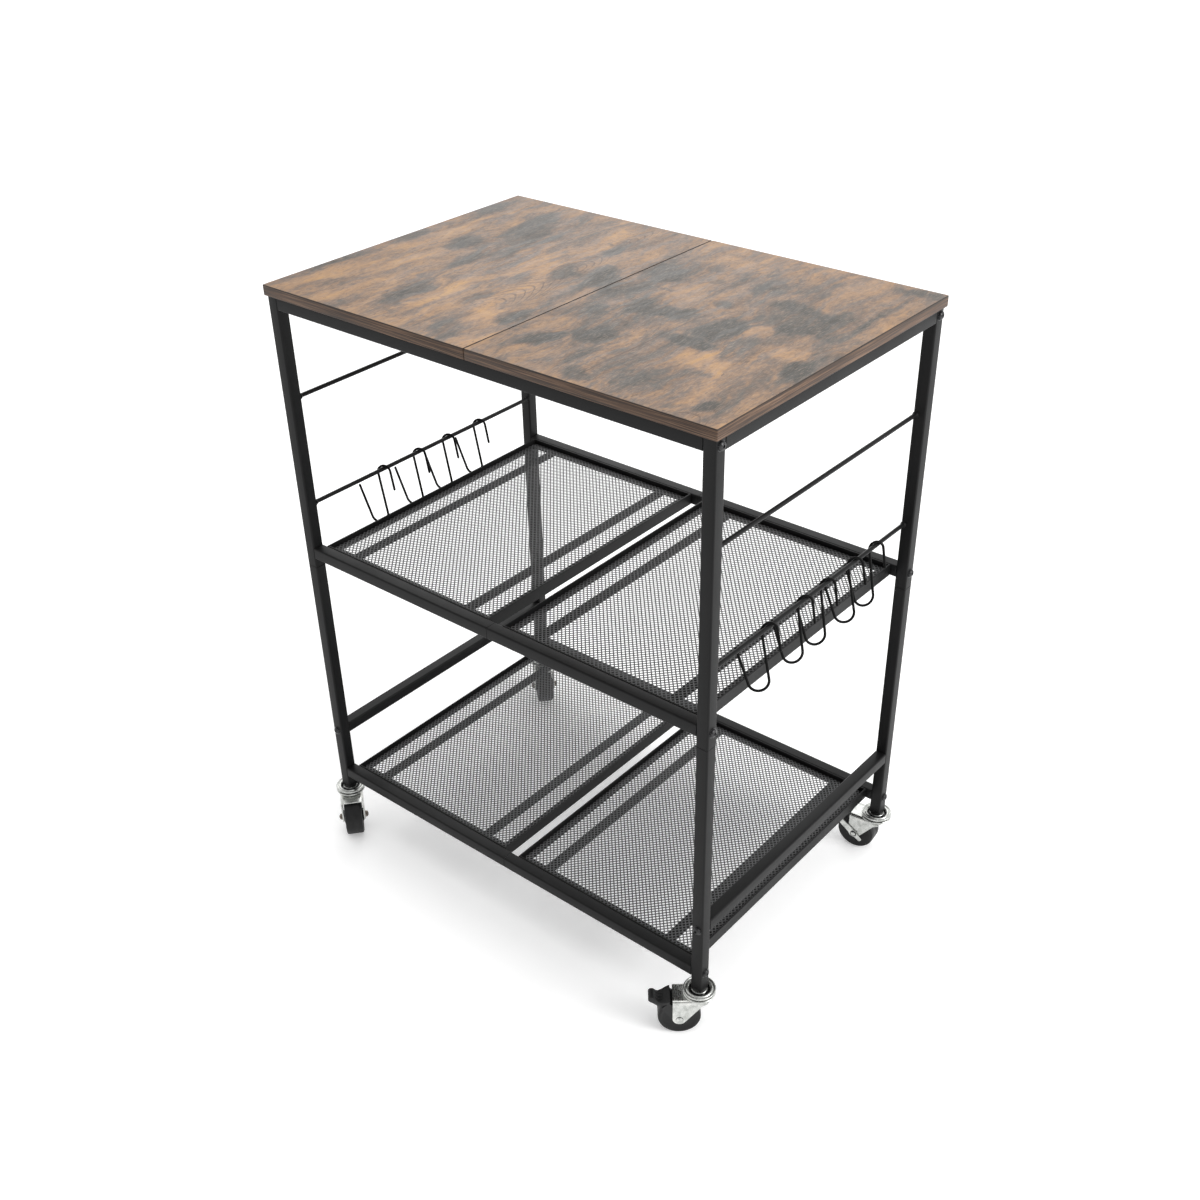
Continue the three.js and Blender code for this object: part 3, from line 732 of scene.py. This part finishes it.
# ---- shelves

LEDGE_WIDTH = 12 * MM
ANGLE_WALL = 2 * MM
STRAP_INSET = 41 * MM
STRAP_WIDTH = 14 * MM
DIAMOND = (5.7 * MM, 6.5 * MM)
STRAND = 1.32 * MM


def eased_box(solid, low, high, ease):
    low, high = Vector(low), Vector(high)
    middle, half = (low + high) / 2, (high - low) / 2
    rows = [(ease, low.z), (0, low.z + ease), (0, high.z - ease), (ease, high.z)]
    rings = [
        [(middle.x + x, middle.y + y, z) for x, y in rounded_square(half.x - back, half.y - back, ease, 2)]
        for back, z in rows
    ]
    solid.loft(rings)


def build_shelf_frame(level, side, coat):
    node = f"{level}_shelf_frame_{side}"
    low, high = box_of(node)
    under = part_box(f"{level}_shelf_mesh_{side}")[0][2]
    ease = 0.35 * MM
    ledge = under - ANGLE_WALL
    section = [
        (0, low.z + ease), (0, high.z - ease), (ease, high.z), (ANGLE_WALL - ease, high.z),
        (ANGLE_WALL, high.z - ease), (ANGLE_WALL, under), (LEDGE_WIDTH - ease, under),
        (LEDGE_WIDTH, under - ease), (LEDGE_WIDTH, ledge + ease), (LEDGE_WIDTH - ease, ledge),
        (ANGLE_WALL, ledge), (ANGLE_WALL, low.z + ease), (ANGLE_WALL - ease, low.z), (ease, low.z),
    ]
    rings = []
    for back, z in section:
        rings.append([
            (low.x + back, low.y + back, z), (high.x - back, low.y + back, z),
            (high.x - back, high.y - back, z), (low.x + back, high.y - back, z),
        ])
    solid = Solid()
    solid.loft(rings, closed=True)
    for centre in (low.x + STRAP_INSET, high.x - STRAP_INSET):
        eased_box(
            solid,
            (centre - STRAP_WIDTH / 2, low.y + ANGLE_WALL, ledge),
            (centre + STRAP_WIDTH / 2, high.y - ANGLE_WALL, under - 0.02 * MM),
            ease,
        )
    make_piece(f"{node}_angle", solid, [coat], FRAME_BODY, [node])


def diamond_sheet(size_x, size_y, thickness):
    """Expanded metal centred on the origin: diamond holes with ridged strands between them."""
    cell_x, cell_y = DIAMOND
    reach_x, reach_y = cell_x / 2, cell_y / 2
    height = reach_x * reach_y / math.hypot(reach_x, reach_y)
    hole = 1 - STRAND / (2 * height)
    count_x = int((size_x / 2 - reach_x) / reach_x)
    count_y = int((size_y / 2 - reach_y) / reach_y)
    centres = [
        (i, j)
        for i in range(-count_x, count_x + 1)
        for j in range(-count_y, count_y + 1)
        if (i + j) % 2 == 0
    ]
    corners = ((1, 0), (0, 1), (-1, 0), (0, -1))
    verts, faces, shared = [], [], {}
    ridge, rim = thickness / 2, thickness / 2 * 0.45

    def knuckle(i, j):
        key = (i, j)
        if key not in shared:
            shared[key] = len(verts)
            verts.append((i * reach_x, j * reach_y, ridge))
            verts.append((i * reach_x, j * reach_y, -ridge))
        return shared[key]

    for i, j in centres:
        outer = [knuckle(i + a, j + b) for a, b in corners]
        start = len(verts)
        for a, b in corners:
            x, y = (i + a * hole) * reach_x, (j + b * hole) * reach_y
            verts.append((x, y, rim))
            verts.append((x, y, -rim))
        for k in range(4):
            n = (k + 1) % 4
            inner_k, inner_n = start + 2 * k, start + 2 * n
            faces.append((outer[k], outer[n], inner_n, inner_k))
            faces.append((outer[n] + 1, outer[k] + 1, inner_k + 1, inner_n + 1))
            faces.append((inner_k, inner_n, inner_n + 1, inner_k + 1))
    mesh = bpy.data.meshes.new("diamond_sheet")
    mesh.from_pydata(verts, [], faces)
    return mesh


def build_shelves(coat, wire):
    low, high = box_of("mid_shelf_mesh_left")
    mesh = diamond_sheet(high.x - low.x, high.y - low.y, high.z - low.z)
    mesh.materials.append(wire)
    mesh.shade_smooth()
    mesh.set_sharp_from_angle(angle=math.radians(60))
    for level in ("mid", "low"):
        for side in ("left", "right"):
            build_shelf_frame(level, side, coat)
            node = f"{level}_shelf_mesh_{side}"
            low, high = box_of(node)
            place = Matrix.Translation((low + high) / 2)
            place_piece(f"{node}_diamond", mesh, FRAME_BODY, [node], place)


# ---- S-hooks

HOOK_WIRE = 1.4 * MM
HOOK_COAT = 0.12 * MM
HOOK_BEND = 8.2 * MM
HOOK_CUP = 11.1 * MM
HOOK_SHORT_ARM = 23.9 * MM
HOOK_LONG_ARM = 52.4 * MM
HOOK_TIP = 42.4 * MM
HOOK_FLARE = math.radians(9.2)
HOOK_TILT = math.radians(-8)
HOOK_REST_GAP = 0.25 * MM
HOOK_SHELF_GAP = 0.5 * MM
HOOK_FROM_ROD = {
    "hook_left_1": 63, "hook_left_2": 63, "hook_left_3": 63, "hook_left_4": 63, "hook_right_1": 49,
    "hook_right_2": 40, "hook_right_3": 40, "hook_right_4": 49, "hook_right_5": 40,
}


def hook_path(rod_radius):
    """Centre line of the bent wire in its own XZ plane, with the rod's centre at the origin."""
    step = 1.0 * MM
    cup_x = -HOOK_BEND - HOOK_CUP

    def straight(x, start, end):
        count = max(2, round(abs(end - start) / (3 * step)))
        return [(x, start + (end - start) * k / count) for k in range(count)]

    def arc(centre, radius, first, last):
        count = round(abs(last - first) * radius / step)
        return [
            (centre[0] + radius * math.cos(a), centre[1] + radius * math.sin(a))
            for a in (first + (last - first) * k / count for k in range(count))
        ]

    flat = straight(HOOK_BEND, -HOOK_SHORT_ARM, 0)
    flat += arc((0, 0), HOOK_BEND, 0, math.pi)
    flat += straight(-HOOK_BEND, 0, -HOOK_LONG_ARM)
    flat += arc((cup_x, -HOOK_LONG_ARM), HOOK_CUP, 0, HOOK_FLARE - math.pi)
    end_x = cup_x - HOOK_CUP * math.cos(HOOK_FLARE)
    end_z = -HOOK_LONG_ARM - HOOK_CUP * math.sin(HOOK_FLARE)
    tip_steps = 12
    for k in range(tip_steps + 1):
        along = HOOK_TIP * k / tip_steps
        flat.append((end_x - along * math.sin(HOOK_FLARE), end_z + along * math.cos(HOOK_FLARE)))
    drop = HOOK_BEND - HOOK_WIRE - rod_radius - HOOK_REST_GAP
    cos, sin = math.cos(HOOK_TILT), math.sin(HOOK_TILT)
    return [Vector((x * cos - z * sin, 0, x * sin + z * cos - drop)) for x, z in flat]


def evenly(path, count):
    """Points at equal distances along a path."""
    lengths = [0.0]
    for a, b in zip(path, path[1:]):
        lengths.append(lengths[-1] + (b - a).length)
    points, k = [], 0
    for n in range(count + 1):
        want = lengths[-1] * n / count
        while k < len(path) - 2 and lengths[k + 1] < want:
            k += 1
        part = (want - lengths[k]) / (lengths[k + 1] - lengths[k])
        points.append(path[k].lerp(path[k + 1], min(1.0, part)))
    return points


def hanging_angle(path, turn, side, shelf_top, shelf_face):
    """How the hook hangs: its weight under the rod, or leaning on the shelf's frame."""
    samples = 400
    across = [(p.x * math.cos(turn), p.z) for p in evenly(path, samples)]
    angle = math.atan2(sum(x for x, _ in across), -sum(z for _, z in across))

    def clears(a):
        for x, z in across:
            turned_x = x * math.cos(a) + z * math.sin(a)
            turned_z = z * math.cos(a) - x * math.sin(a)
            if turned_z <= shelf_top and side * turned_x <= -shelf_face:
                return False
        return True

    step = math.radians(0.1)
    while not clears(angle):
        angle -= side * step
    return angle


def sweep_wire(solid, path, radius, segments=14):
    """A round wire along a path in the XZ plane, with rounded ends."""
    rings = []
    ends = [(0.30, 0.25), (0.72, 0.62), (1.0, 1.0)]

    def ring(centre, along, scale):
        side = Vector((0, 1, 0))
        other = along.cross(side)
        return [
            centre + (side * math.cos(a) + other * math.sin(a)) * radius * scale
            for a in (2 * math.pi * k / segments for k in range(segments))
        ]

    for k, point in enumerate(path):
        before, after = path[max(0, k - 1)], path[min(len(path) - 1, k + 1)]
        along = (after - before).normalized()
        if k == 0:
            for scale, back in ends:
                rings.append(ring(point - along * radius * (1 - back), along, scale))
        elif k == len(path) - 1:
            for scale, back in reversed(ends):
                rings.append(ring(point + along * radius * (1 - back), along, scale))
        else:
            rings.append(ring(point, along, 1.0))
    solid.loft(rings)


def build_hooks(material):
    for node in (n for n in NODES if n.startswith("hook_")):
        side = 1 if "_right_" in node else -1
        pivot = Vector(JOINTS[f"swing_{node}"]["pos_m"])
        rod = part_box(f"lower_rod_{'right' if side > 0 else 'left'}")
        radius = (rod[1][0] - rod[0][0]) / 2
        turn = math.pi / 2 - math.radians(HOOK_FROM_ROD[node])
        path = hook_path(radius)
        frame_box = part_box(f"mid_shelf_frame_{'right' if side > 0 else 'left'}")
        face = abs(frame_box[1][0] if side > 0 else frame_box[0][0])
        shelf_top = frame_box[1][2] - pivot.z + HOOK_WIRE
        shelf_face = abs(pivot.x) - face - HOOK_WIRE - HOOK_SHELF_GAP
        angle = hanging_angle(path, turn, side, shelf_top, shelf_face)
        solid = Solid()
        sweep_wire(solid, path, HOOK_WIRE + HOOK_COAT)
        place = Matrix.Translation(pivot) @ Matrix.Rotation(angle, 4, "Y") @ Matrix.Rotation(turn, 4, "Z")
        make_piece(f"{node}_wire", solid, [material], node, [node], 60, place=place)


# ---- casters

def scaled_profile(points):
    return [(a * MM, b * MM) for a, b in points]


def smooth_profile(points, rounds=2):
    """Corner cutting on an open profile: keeps the ends and softens each corner."""
    cut = 0.18
    for _ in range(rounds):
        softer = [points[0]]
        for (ax, ay), (bx, by) in zip(points, points[1:]):
            softer.append((ax + (bx - ax) * cut, ay + (by - ay) * cut))
            softer.append((bx + (ax - bx) * cut, by + (ay - by) * cut))
        softer.append(points[-1])
        points = softer
    return points


def caster_place(corner):
    """The caster's own frame: swivel axis up, wheel trailing along +X, floor at zero."""
    swivel = Vector(JOINTS[f"swivel_{corner}"]["pos_m"])
    axle = Vector(JOINTS[f"roll_{corner}"]["pos_m"])
    trail = axle - swivel
    angle = math.atan2(trail.y, trail.x)
    return Matrix.Translation((swivel.x, swivel.y, 0)) @ Matrix.Rotation(angle, 4, "Z")


def build_stem(corner, zinc, dark, place):
    """Pressed dish with a double lip, dark bearing inside, a dark liner in the dish's hollow as painted
    shade under the leg, threaded stem and its washer under the leg.
    """
    dish = smooth_profile([
        (0, 54.6), (11, 54.6), (12.6, 59.2), (18.5, 59.1), (19.3, 60.2), (18.9, 61.5), (17.6, 61.9),
        (16.2, 60.6),
        (14.8, 62.1), (13.4, 61.9), (12.2, 60.4), (11, 56.2), (7.4, 56.2),
    ])
    stem = [(7.4, 57.0), (7.4, 60.0), (9.0, 60.2), (9.2, 60.7), (8.8, 61.1), (4.0, 61.4), (4.0, 88), (0, 88)]
    solid = Solid()
    solid.lathe(scaled_profile(dish + stem), segments=64)
    rivet = [(0, 49.6), (5.8, 49.7), (6.5, 50.4), (6.5, 51.6), (4, 51.6), (4, 54.8), (0, 54.8)]
    solid.lathe(scaled_profile(rivet), segments=40)
    # dark steel laid over the dish's inside: painted shade of the hollow under the leg, not a part of its
    # own
    painted_shade_liner = [(7.3, 56.1), (11.2, 56.1), (12.3, 59.9), (11.9, 60.1), (10.6, 57.6), (7.3, 57.2)]
    solid.lathe(scaled_profile(painted_shade_liner), segments=64, slot=1)
    balls = [(12.0, 57.5), (16.9, 57.5), (16.9, 59.3), (12.0, 59.3)]
    solid.lathe(scaled_profile(balls), segments=64, slot=1)
    collar = [(0, 61.0), (6.6, 61.0), (6.6, 64.9), (0, 64.9)]
    solid.lathe(scaled_profile(collar), segments=6, slot=1)
    make_piece(f"caster_stem_{corner}_dish", solid, [zinc, dark], FRAME_BODY,
               [f"caster_stem_{corner}"], 40, place=place)


def build_foot_plug(corner, plastic):
    """Black plug closing the leg's foot round the caster's stem."""
    low, high = box_of(f"lower_leg_{corner}")
    middle, half = (low + high) / 2, (high - low) / 2
    solid = Solid()
    rings = []
    for back, z in ((2.2, -3.5), (0.9, -3.3), (0.3, -2.4), (0.3, -0.2), (0.9, 0.3)):
        outline = rounded_square(half.x - back * MM, half.y - back * MM, 1.8 * MM)
        rings.append([(middle.x + x, middle.y + y, low.z + z * MM) for x, y in outline])
    solid.loft(rings)
    make_piece(f"foot_plug_{corner}", solid, [plastic], FRAME_BODY)


FORK_MIDDLE = 14.4
FORK_BEND = 3.0
FORK_TOP = 52.9
FORK_FRONT = -14
FORK_HALF_WALL = 0.9
FORK_OUTER = 15.3
LEVER_OUTER = 17.2
AXLE_RADIUS = 4
AXLE_HALF = 16
TRAIL = 23.0
AXLE_Z = 25.0
AXLE = (TRAIL * MM, 0, AXLE_Z * MM)


def fork_limits(y, z):
    """How far the fork's sheet reaches along X at one place of its bent section."""
    front_round, axle_round, back = 9.0, 8.0, 31.0
    if z > FORK_TOP - FORK_BEND - 0.01:
        over = max(0.0, abs(y) - (FORK_MIDDLE + FORK_HALF_WALL - front_round))
        return FORK_FRONT + front_round - math.sqrt(max(0.0, front_round ** 2 - over ** 2)), back
    slope_low, slope_high = (TRAIL - 6.2, 21.0), (-5.6, FORK_TOP - FORK_BEND)
    part = (z - slope_low[1]) / (slope_high[1] - slope_low[1])
    front = slope_low[0] + (slope_high[0] - slope_low[0]) * part
    centre = 26.0
    if z < centre:
        reach = math.sqrt(max(0.0, axle_round ** 2 - (centre - z) ** 2))
        front = max(front, TRAIL - reach) if z < slope_low[1] else front
        back = min(back, TRAIL + max(reach, 0.2))
    return min(front, back - 0.4), back


def fork_sheet(solid):
    """The fork as one bent sheet: cheek, top plate, cheek, skinned on both faces."""
    section = []
    heights = [18.1, 18.5, 19.2, 20.2, 21.4, 23, 25, 27, 31, 36, 41, 46, FORK_TOP - FORK_BEND]
    bends = [math.radians(90 * k / 6) for k in range(1, 7)]
    for z in heights:
        section.append((-FORK_MIDDLE, z, (-1, 0)))
    for a in bends:
        section.append((
            -FORK_MIDDLE + FORK_BEND * (1 - math.cos(a)), FORK_TOP - FORK_BEND * (1 - math.sin(a)),
            (-math.cos(a), math.sin(a)),
        ))
    flat = FORK_MIDDLE - FORK_BEND
    for k in range(1, 8):
        section.append((-flat + 2 * flat * k / 8, FORK_TOP, (0, 1)))
    for a in reversed(bends):
        section.append((
            FORK_MIDDLE - FORK_BEND * (1 - math.cos(a)), FORK_TOP - FORK_BEND * (1 - math.sin(a)),
            (math.cos(a), math.sin(a)),
        ))
    for z in reversed(heights):
        section.append((FORK_MIDDLE, z, (1, 0)))
    across, half = 14, FORK_HALF_WALL
    faces, verts = [], []
    rows = len(section)
    for sign in (1, -1):
        for y, z, (ny, nz) in section:
            front, back = fork_limits(y, z)
            for k in range(across + 1):
                x = front + (back - front) * k / across
                verts.append((x * MM, (y + sign * ny * half) * MM, (z + sign * nz * half) * MM))
    width = across + 1
    layer = rows * width
    for r in range(rows - 1):
        for k in range(across):
            a, b = r * width + k, (r + 1) * width + k
            faces.append((a, a + 1, b + 1, b))
            faces.append((layer + b, layer + b + 1, layer + a + 1, layer + a))
    rim = [k for k in range(width)] + [r * width + across for r in range(1, rows)]
    rim += [(rows - 1) * width + k for k in reversed(range(across))]
    rim += [r * width for r in reversed(range(1, rows - 1))]
    for a, b in zip(rim, rim[1:] + rim[:1]):
        faces.append((b, a, layer + a, layer + b))
    solid.add(verts, faces)


def hex_nut(solid, y, outward, radius=4.1, height=3.5):
    """A hex nut on the axle with chamfered corners, and the axle's end standing out of it."""
    nut = [(0, 0), (radius, 0), (radius, height - 0.6), (radius - 0.8, height), (0, height)]
    base, end = height - 0.2, height + 0.8
    tip = [(0, base), (2.3, base), (2.3, height + 0.4), (1.8, end), (0, end)]
    washer = [(0, -0.1), (5.2, -0.1), (5.3, 0.3), (5.1, 0.6), (0, 0.6)]
    for points, segments in ((nut, 6), (tip, 24), (washer, 32)):
        solid.lathe([(r * MM, (y + outward * h) * MM) for r, h in points], "Y", AXLE, segments, slot=1)


def rivet_head(solid, y, outward):
    """The axle's peened end: a bright dome in a dark ring, the ring being painted shade of the gap round the
    dome.
    """
    # thin dark steel disc under the dome: painted shade of the gap round it
    ring = [(0, -0.2), (4.3, -0.2), (4.3, 0.25), (0, 0.25)]
    dome = [(0, 0), (3.1, 0), (3.1, 0.7), (2.6, 1.3), (1.5, 1.6), (0.9, 1.2), (0, 1.1)]
    for points, slot in ((ring, 1), (dome, 0)):
        solid.lathe([(r * MM, (y + outward * h) * MM) for r, h in points], "Y", AXLE, 36, slot=slot)


def build_fork(corner, zinc, steel, place):
    solid = Solid()
    race = smooth_profile([
        (13.3, 53.4), (16.6, 53.6), (17.6, 54.6), (18.9, 54.8),
        (19.3, 56.0), (18.4, 57.2), (13.6, 57.3), (13.3, 56.6),
    ], 2)
    solid.lathe(scaled_profile(race), segments=64)
    fork_sheet(solid)
    axle = [(0, -AXLE_HALF), (AXLE_RADIUS, -AXLE_HALF), (AXLE_RADIUS, AXLE_HALF), (0, AXLE_HALF)]
    solid.lathe(scaled_profile(axle), "Y", AXLE, 32)
    braked = corner.endswith("right")
    out = LEVER_OUTER if corner == "rear_right" else FORK_OUTER
    for outward in (-1, 1):
        if braked:
            rivet_head(solid, outward * out, outward)
        else:
            hex_nut(solid, outward * out, outward)
    make_piece(f"caster_fork_{corner}_sheet", solid, [zinc, steel], f"caster_{corner}",
               [f"caster_fork_{corner}"], 38, place=place)


def build_wheel(corner, rubber, place):
    # the pedal's cheeks leave less room beside the front right wheel
    hub = 11.5 if corner == "front_right" else 13.1
    half = [
        (8.6, 10.6), (19.0, 10.2), (20.6, 11.2), (22.6, 11.5), (24.2, 10.8),
        (24.9, 9.2), (25.0, 6.0), (25.0, 0.5), (24.8, 0.0),
    ]
    side = [(4.3, hub), (8.2, hub), (8.6, hub - 0.5)] + half
    profile = [(r, -y) for r, y in side] + [(r, y) for r, y in reversed(side[:-1])]
    solid = Solid()
    solid.lathe(scaled_profile(profile), "Y", AXLE, 96)
    make_piece(f"caster_wheel_{corner}_tread", solid, [rubber], f"wheel_{corner}",
               [f"caster_wheel_{corner}"], 35, place=place)


def from_axle(points):
    """Points given in mm from the axle, in the caster's own frame."""
    return [((x + TRAIL) * MM, (z + AXLE_Z) * MM) for x, z in points]


def arc_points(centre, radius, angles):
    return [(centre[0] + radius * math.cos(a), centre[1] + radius * math.sin(a)) for a in angles]


def build_pedal(plastic, place):
    """The moulded tab over the wheel's back, with a curled toe and two cheeks round the axle."""
    clear, outer = 26.2, 13.2
    start, stop = math.radians(66), math.radians(38)
    under_angles = [start + (stop - start) * k / 8 for k in range(9)]
    toe_angles = [math.radians(degrees) for degrees in range(-60, 136, 15)]
    tab = arc_points((0, 0), clear, under_angles) + [(24.2, 15.8), (28.4, 18.0)]
    tab += arc_points((31.8, 24.8), 4.0, toe_angles)
    tab += [(27.2, 25.4), (24.2, 23.2), (20.0, 23.8), (14.6, 26.2), (10.8, 28.0)]
    solid = Solid()
    solid.prism(from_axle(tab), -outer * MM, outer * MM, 0.7 * MM)
    # the tab narrows softly towards its toe
    taper_start, taper_length, taper = 13.0, 18.0, 0.42
    for vert in solid.verts:
        reach = min(1.0, max(0.0, (vert.x / MM - TRAIL - taper_start) / taper_length))
        vert.y *= 1 - taper * reach * reach * (3 - 2 * reach)
    rib_half = 0.8
    for rib in (-4.5, 0.0, 4.5):
        ridge = [(19.5, 23.4), (24.2, 22.7), (30.0, 26.6), (29.4, 27.6), (24.2, 24.3), (19.8, 24.9)]
        solid.prism(from_axle(ridge), (rib - rib_half) * MM, (rib + rib_half) * MM, 0.3 * MM)
    arm = [(-4, 5), (5, -4.5), (21.0, 15.6), (12, 24.9)]
    for low, high in ((11.8, 13.1), (-13.1, -11.8)):
        solid.prism(from_axle(arm), low * MM, high * MM)
        ring = [(4.35, low), (6.8, low), (6.8, high), (4.35, high)]
        solid.lathe(scaled_profile(ring), "Y", AXLE, 36)
    make_piece("brake_pedal_front_right_tab", solid, [plastic], "brake_front_right",
               ["brake_pedal_front_right"], 35, place=place)


def build_lever(zinc, place):
    """The folded steel lever: two arms outside the fork and a tread plate behind the wheel."""
    lift = math.radians(36)
    inner, outer = 15.6, 17.0
    solid = Solid()
    arm = [
        (-13.6, -1.8), (-12.4, -2.8), (2, -4.4), (18, -4.0), (38, -3.0),
        (38.6, 1.2), (24, 4.0), (8, 5.0), (-12.4, 2.6), (-13.6, 1.6),
    ]
    tread = [(26.8, -1.6), (38, -1.6), (41.4, 1.2), (40.3, 2.2), (37.2, 0), (26.8, 0)]
    for low, high in ((inner, outer), (-outer, -inner)):
        solid.prism(scaled_profile(arm), low * MM, high * MM, 0.3 * MM)
    solid.prism(scaled_profile(tread), -outer * MM, outer * MM, 0.3 * MM)
    turn = Matrix.Translation(AXLE) @ Matrix.Rotation(-lift, 4, "Y")
    solid.move(turn)
    make_piece("brake_pedal_rear_right_lever", solid, [zinc], "brake_rear_right",
               ["brake_pedal_rear_right"], 35, place=place)


def build_casters():
    zinc = zinc_plate("zinc")
    steel = nut_steel("nut_steel")
    rubber = moulded_plastic("wheel_black", 0.007, 0.50)
    plastic = moulded_plastic("pedal_black", 0.010, 0.42)
    # dark black-oxide steel, also used as painted shade in the dish's hollow and round the rivet domes
    bolt = bolt_steel("dark_steel_and_painted_shade")
    for corner in CORNERS:
        place = caster_place(corner)
        build_stem(corner, zinc, bolt, place)
        build_foot_plug(corner, plastic)
        build_fork(corner, zinc, bolt if corner.endswith("right") else steel, place)
        build_wheel(corner, rubber, place)
        if corner == "front_right":
            build_pedal(plastic, place)
        if corner == "rear_right":
            build_lever(zinc, place)


# ---- the whole cart

build_camera()
build_studio()
coat = powder_coat("powder_coat")
build_frame(coat)
build_bolts(bolt_steel("bolt_black"))
build_worktop()
# the shelves' black powder coat given a grey tone far above the frame's: painted sheen for the highlights on
# the many small strands
build_shelves(coat, powder_coat("mesh_coat_with_painted_sheen", 0.095, 0.42))
build_hooks(powder_coat("hook_coat", 0.006, 0.36, 0.05))
build_casters()
